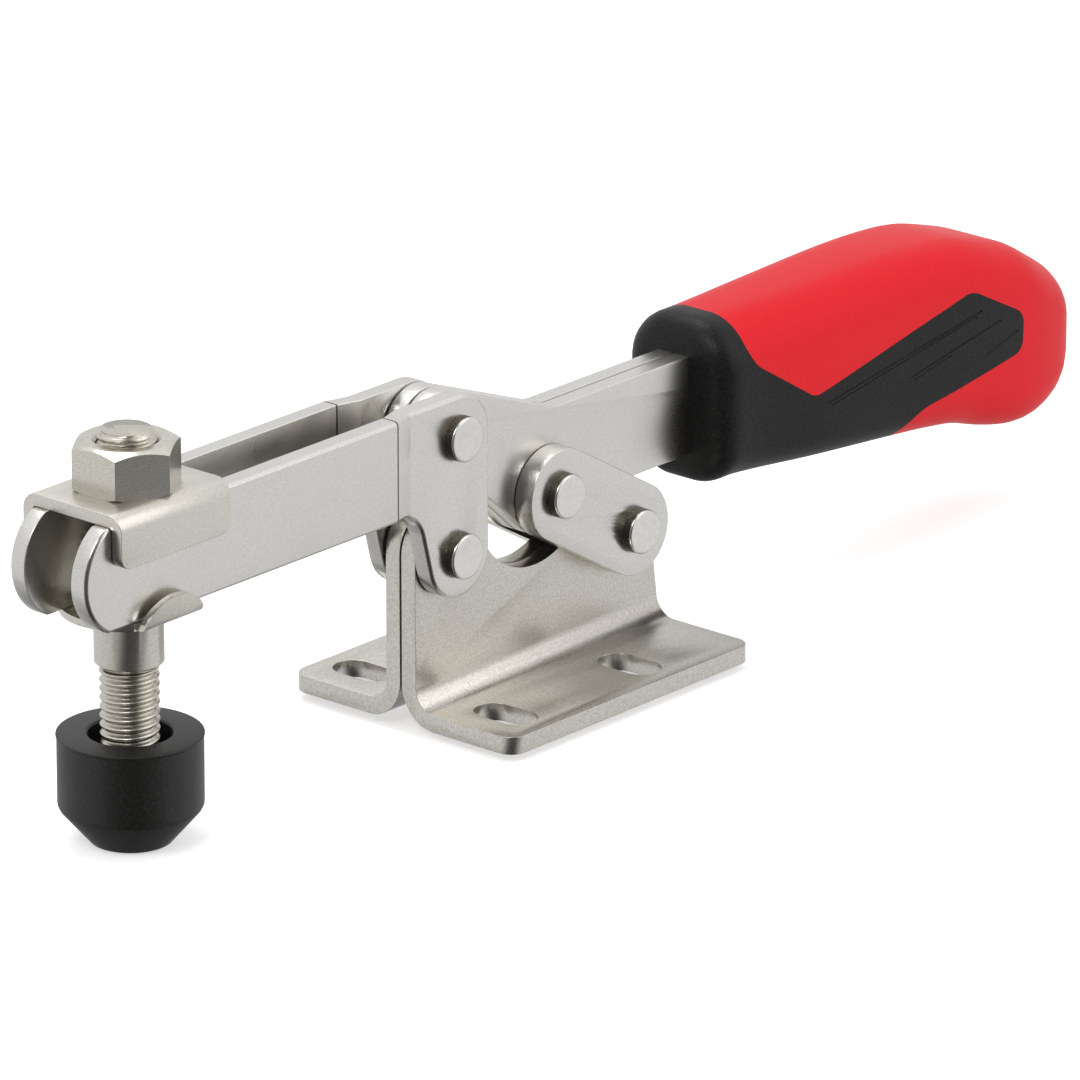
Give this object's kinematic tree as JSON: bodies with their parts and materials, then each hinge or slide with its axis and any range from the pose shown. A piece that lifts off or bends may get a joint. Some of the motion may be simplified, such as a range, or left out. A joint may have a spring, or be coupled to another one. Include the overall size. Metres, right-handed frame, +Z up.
{
  "type": "toggle clamp",
  "caption": "Horizontal toggle clamp with an open arm, a rubber-capped screw spindle, toggle links, a two-colour handle grip and a slotted flanged base.",
  "frame": {"origin": "centre of the four base slots, on the underside of the base", "axes": "+X from the clamping spindle towards the handle, +Y to the far side, +Z up from the mounting face"},
  "size_m": [0.2042, 0.04, 0.0573],
  "materials": {
    "stainless_sheet": "satin blasted stainless sheet with tumbled edges",
    "clip_steel": "satin folded stainless sheet",
    "turned_steel": "turned stainless",
    "rivet_steel": "headed stainless pin",
    "bearing_steel": "ground",
    "black_rubber": "matt moulded",
    "black_elastomer": "fine-grained moulded",
    "red_plastic": "satin moulded"
  },
  "bodies": {
    "base": {"base_bracket_near": "stainless_sheet", "base_bracket_far": "stainless_sheet", "base_bush_front": "bearing_steel", "base_bush_rear": "bearing_steel"},
    "arm": {"arm_plate_near": "stainless_sheet", "arm_plate_far": "stainless_sheet", "arm_rivet": "rivet_steel", "lever_rivet": "rivet_steel"},
    "lever": {"lever_plate_near": "stainless_sheet", "lever_plate_far": "stainless_sheet", "lever_bush": "bearing_steel", "grip_collar": "black_elastomer", "grip_body": "red_plastic"},
    "links": {"link_plate_near": "stainless_sheet", "link_plate_far": "stainless_sheet", "toggle_rivet": "rivet_steel", "link_rivet": "rivet_steel"},
    "carriage": {"saddle_clip": "clip_steel", "flanged_sleeve": "turned_steel", "hex_nut": "turned_steel"},
    "spindle": {"clamping_spindle": "turned_steel", "rubber_cap": "black_rubber"}
  },
  "joints": [
    {"name": "arm_pivot", "type": "hinge", "parent": "base", "child": "arm", "pos_m": [-0.014, 0, 0.0239], "axis": [0, 1, 0], "range_deg": [0, 90]},
    {"name": "lever_pivot", "type": "hinge", "parent": "arm", "child": "lever", "pos_m": [-0.014, 0, 0.04055], "axis": [0, -1, 0], "range_deg": [0, 145.83]},
    {"name": "link_pivot", "type": "hinge", "parent": "base", "child": "links", "pos_m": [0.0226, 0, 0.0176], "axis": [0, 1, 0], "range_deg": [0, 79.32]},
    {"name": "carriage_slide", "type": "slide", "parent": "arm", "child": "carriage", "axis": [1, 0, 0], "range_m": [-0.002, 0.026]},
    {"name": "spindle_height", "type": "slide", "parent": "carriage", "child": "spindle", "axis": [0, 0, 1], "range_m": [-0.001, 0.006]}
  ],
  "couplings": [
    {"joint": "lever_pivot", "follows": "arm_pivot", "ratio": 1.6203},
    {"joint": "link_pivot", "follows": "arm_pivot", "ratio": 0.88133}
  ]
}
